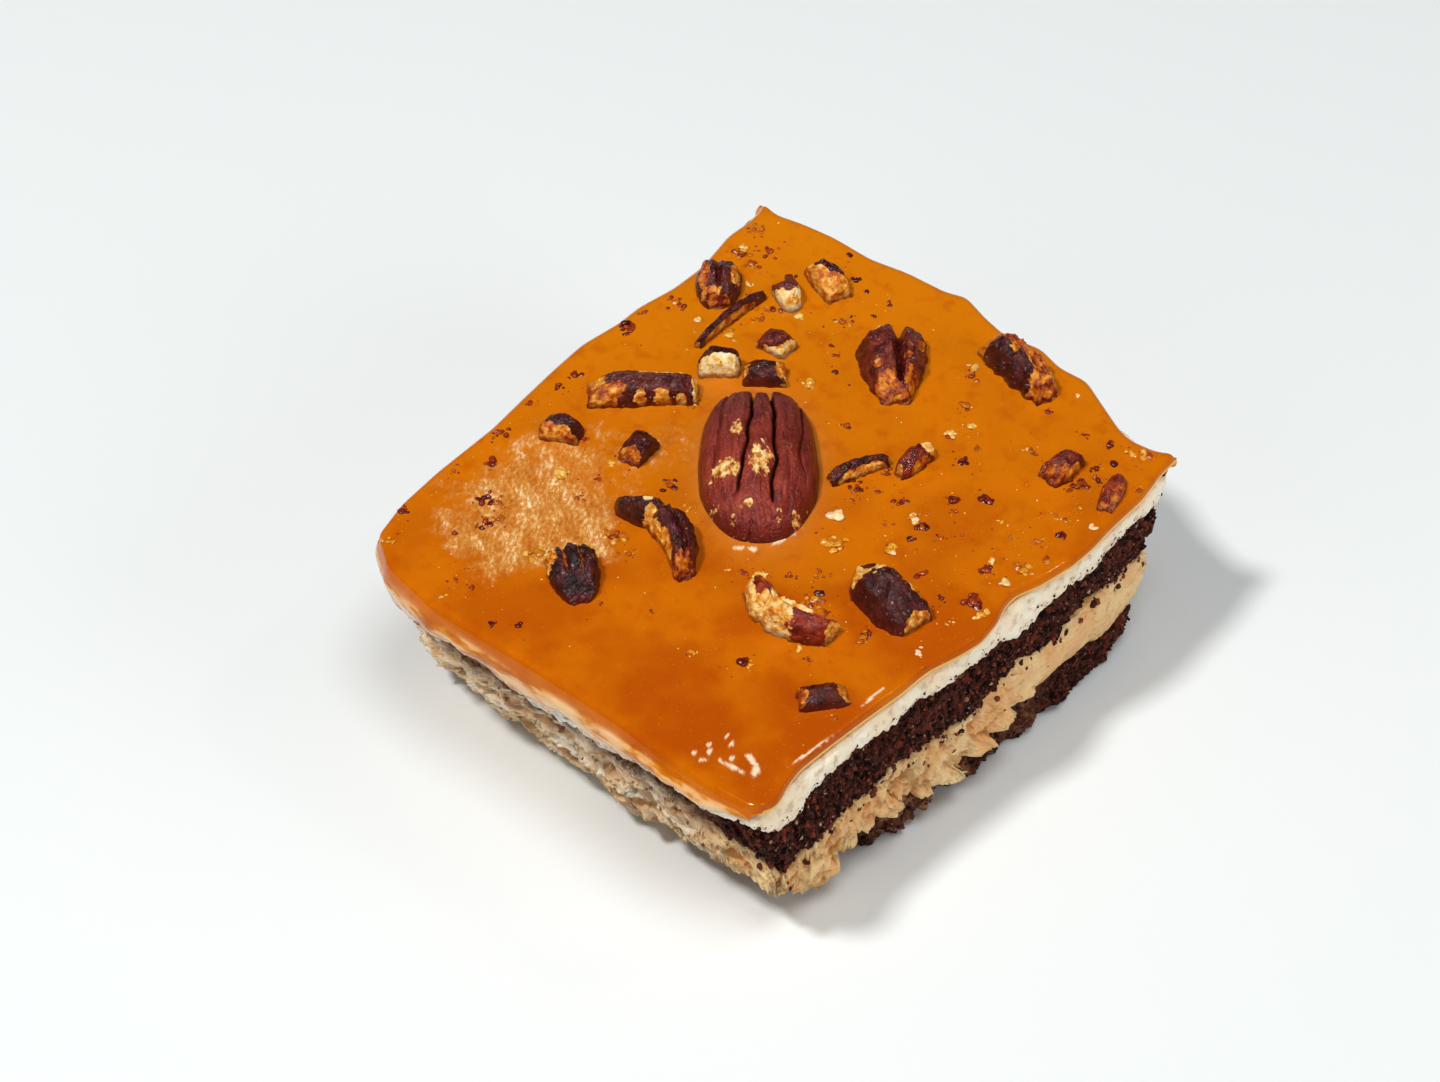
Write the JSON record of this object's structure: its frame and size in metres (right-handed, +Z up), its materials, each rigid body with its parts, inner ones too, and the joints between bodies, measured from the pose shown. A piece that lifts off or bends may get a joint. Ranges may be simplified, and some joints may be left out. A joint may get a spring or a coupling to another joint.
{
  "type": "slice of pecan caramel layer cake",
  "caption": "Square-cut piece of chocolate layer cake with coffee cream, white cream and a caramel top carrying a pecan half and broken pecans.",
  "frame": {"origin": "middle of the flat base that stands on the table", "axes": "+Z up, +X along the long side with the neatly cut face looking along -Y, +Y from that face into the cake"},
  "size_m": [0.0959, 0.0831, 0.0376],
  "materials": {
    "sponge": "near-black brown open crumb",
    "coffee_cream": "soft torn cream",
    "white_cream": "smooth soft cream",
    "caramel": "wet gloss",
    "pecan": "reddish-brown skin with pale broken flesh"
  },
  "bodies": {
    "root": {"lower_sponge": "sponge", "coffee_cream": "coffee_cream", "upper_sponge": "sponge", "white_cream": "white_cream", "caramel": "caramel", "pecan_half": "pecan", "piece_long": "pecan", "piece_crescent": "pecan", "piece_dark": "pecan", "piece_curl": "pecan", "piece_broad": "pecan", "piece_forked": "pecan", "piece_edge": "pecan", "piece_back": "pecan", "piece_bark": "pecan", "piece_pale": "pecan", "piece_stub": "pecan", "piece_block": "pecan", "piece_cream": "pecan", "piece_shell": "pecan", "piece_wedge": "pecan", "piece_pane": "pecan", "piece_blade": "pecan", "piece_tip": "pecan", "piece_bar": "pecan", "piece_shard": "pecan", "piece_knob": "pecan"}
  },
  "joints": []
}
